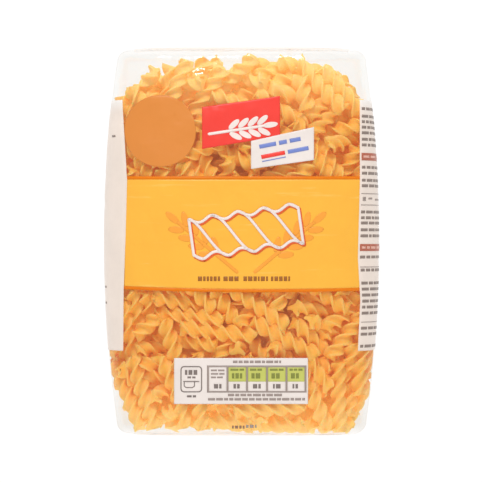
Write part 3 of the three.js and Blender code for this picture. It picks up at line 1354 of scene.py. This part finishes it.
band()
band_artwork()
big_twist()
oval("print_tan", BASE_INK, *DISC)
red_panel()
white_tag()
bottom_panel()
side_print()

# Where the side panels fade out to the clear film at their top ends, in metres along the packet
STRIP_FADE = (0.069, 0.079)

# Each ink's colour, from 0 to 255, its material slot and what is special to it
INK_COLOURS = {
    "print_yellow": ((255, 184, 59), "print_yellow", dict(streaks=0.5, mottle=0.03)),
    "print_orange": ((236, 124, 8), "print_orange", dict(gloss=0.25)),
    "print_faint": ((253, 164, 55), "print_orange"),
    "print_shadow": ((236, 98, 40), "print_orange"),
    "print_cream": ((244, 228, 220), "print_white"),
    "print_brown": ((164, 98, 30), "print_dark"),
    "print_red": ((243, 62, 50), "print_red"),
    "print_maroon": ((184, 102, 78), "print_red"),
    "print_white": ((236, 225, 218), "print_white"),
    "print_white_thin": (
        (224, 209, 197), "print_white", dict(see_through=0.05, fade=STRIP_FADE, glow=0.14)
    ),
    "print_blush": ((232, 178, 160), "print_white"),
    "print_blue": ((116, 135, 203), "print_blue"),
    "print_green": ((198, 200, 100), "print_green"),
    "print_olive": ((134, 138, 62), "print_green"),
    "print_dark": ((128, 115, 109), "print_dark"),
    "print_grey": ((160, 144, 136), "print_dark"),
    "print_date": ((150, 112, 86), "print_dark"),
    "print_text": ((142, 125, 115), "print_dark"),
    "print_tan": ((224, 137, 56), "print_tan", dict(mottle=0.01, crinkled=0.0)),
}

for name, (vertices, faces) in inks.items():
    colour, slot, *extra = INK_COLOURS[name]
    material = ink_material(name, linear(*colour), **dict(*extra))
    piece = make_mesh(name, np.concatenate(vertices), faces, material)
    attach(piece, "root")


# The crimped end seals, folded down against the end panels
SEAL_COLUMNS = 120
ROWS_ON_CRIMP = 6
SEAL_STAND = 0.42
SEAL_THICKNESS = 0.12
SEAL_END_STAND = 0.4
CRIMP_HEIGHT = 0.13
SEAL_SAG = 0.25
SAG_LENGTH = 9.0
SEAL_WAVE = 0.08
WAVE_LENGTH = 6.5


def seal(name, hand):
    centre = float(centre_height(HALF_LENGTH))
    width = float(half_width(HALF_LENGTH)) - EDGE_RADIUS
    thickness = float(half_thickness(HALF_LENGTH)) - EDGE_RADIUS
    down = np.linspace(0, 1, CRIMP_COUNT * ROWS_ON_CRIMP + 1)[:, None]
    x = np.linspace(-SEAL_WIDTH / 2, SEAL_WIDTH / 2, SEAL_COLUMNS + 1)[None]
    z = centre - SEAL_HEIGHT * down + SEAL_SAG * np.sin(x / SAG_LENGTH) * down
    crimp = CRIMP_HEIGHT * np.cos(down * CRIMP_COUNT * 2 * math.pi)
    wave = SEAL_WAVE * np.sin(x / WAVE_LENGTH + 1.0) * down
    panel = HALF_LENGTH - panel_set_back(x, (z - centre) / thickness, width)
    taper = mix(SEAL_END_STAND, 1.0, smooth_step(0, SEAL_END_TAPER, SEAL_WIDTH / 2 - np.abs(x)))
    y = panel + (SEAL_STAND + crimp + wave) * taper
    outer = np.stack([np.broadcast_to(x, z.shape), hand * y, z], -1)
    inner = outer - (0, hand * SEAL_THICKNESS, 0)
    if hand > 0:
        outer, inner = outer[::-1], inner[::-1]
    piece = make_mesh(name, *closed_sheet(outer, inner), seal_look)
    return piece


for piece in pasta + [film, seal("seal_top", 1), seal("seal_bottom", -1)]:
    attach(piece, "root")


# Floor, light and camera
FLOOR_REACH = 4000
FLOOR_HEIGHT = -0.3
FLOOR_COLOUR = (0.12, 0.12, 0.12)
FLOOR_GLOW = 0.92
WORLD_LIGHT = 0.62
LIGHT_AIM = 0.03
CLIP_END = 20
# Each light's name, place, size and power, the place along the packet at which it points, and
# whether gloss shows it, all in metres and watts
LIGHTS = (
    ("key", (-0.1, 0.85, 0.75), (0.22, 0.14), 4.8, 0, True),
    ("fill", (0.1, -0.85, 0.75), (0.9, 0.5), 3.5, 0, False),
    ("top_end", (0, 0.32, 0.17), (0.3, 0.08), 0.08, 0.09, False),
    ("bottom_end", (0, -0.32, 0.17), (0.3, 0.08), 0.07, -0.09, False),
)


def floor_piece():
    look = Look("floor")
    material = look.done(look.node("BsdfPrincipled", {
        "Base Color": FLOOR_COLOUR,
        "Roughness": 1.0,
        "Specular IOR Level": 0.0,
        "Emission Color": WHITE,
        "Emission Strength": FLOOR_GLOW,
    }))
    signs = ((-1, -1), (1, -1), (1, 1), (-1, 1))
    corners = [(x * FLOOR_REACH, y * FLOOR_REACH, FLOOR_HEIGHT) for x, y in signs]
    piece = make_mesh("floor", corners, [(0, 1, 2, 3)], material)


def area_light(name, place, size, power, aim, mirrored):
    data = bpy.data.lights.new(name, "AREA")
    data.shape = "RECTANGLE"
    data.size, data.size_y = size
    data.energy = power
    light = bpy.data.objects.new(name, data)
    light.location = place
    way = Vector((0, aim, LIGHT_AIM)) - Vector(place)
    light.rotation_euler = way.to_track_quat("-Z", "Y").to_euler()
    light.visible_glossy = mirrored
    bpy.context.collection.objects.link(light)


floor_piece()
for light in LIGHTS:
    area_light(*light)

world = bpy.data.worlds.new("world")
world.use_nodes = True
background = world.node_tree.nodes["Background"]
background.inputs["Color"].default_value = (*WHITE, 1)
background.inputs["Strength"].default_value = WORLD_LIGHT
bpy.context.scene.world = world
bpy.context.scene.view_settings.view_transform = "Standard"

camera_data = bpy.data.cameras.new("camera")
camera_data.sensor_width = SENSOR
camera_data.lens = SENSOR * (CAMERA_HEIGHT - MIDDLE_HEIGHT) / (IMAGE * MM_PER_PIXEL)
camera_data.clip_end = CLIP_END
camera = bpy.data.objects.new("camera", camera_data)
camera.location = (0, 0, CAMERA_HEIGHT * MM)
bpy.context.collection.objects.link(camera)
bpy.context.scene.camera = camera
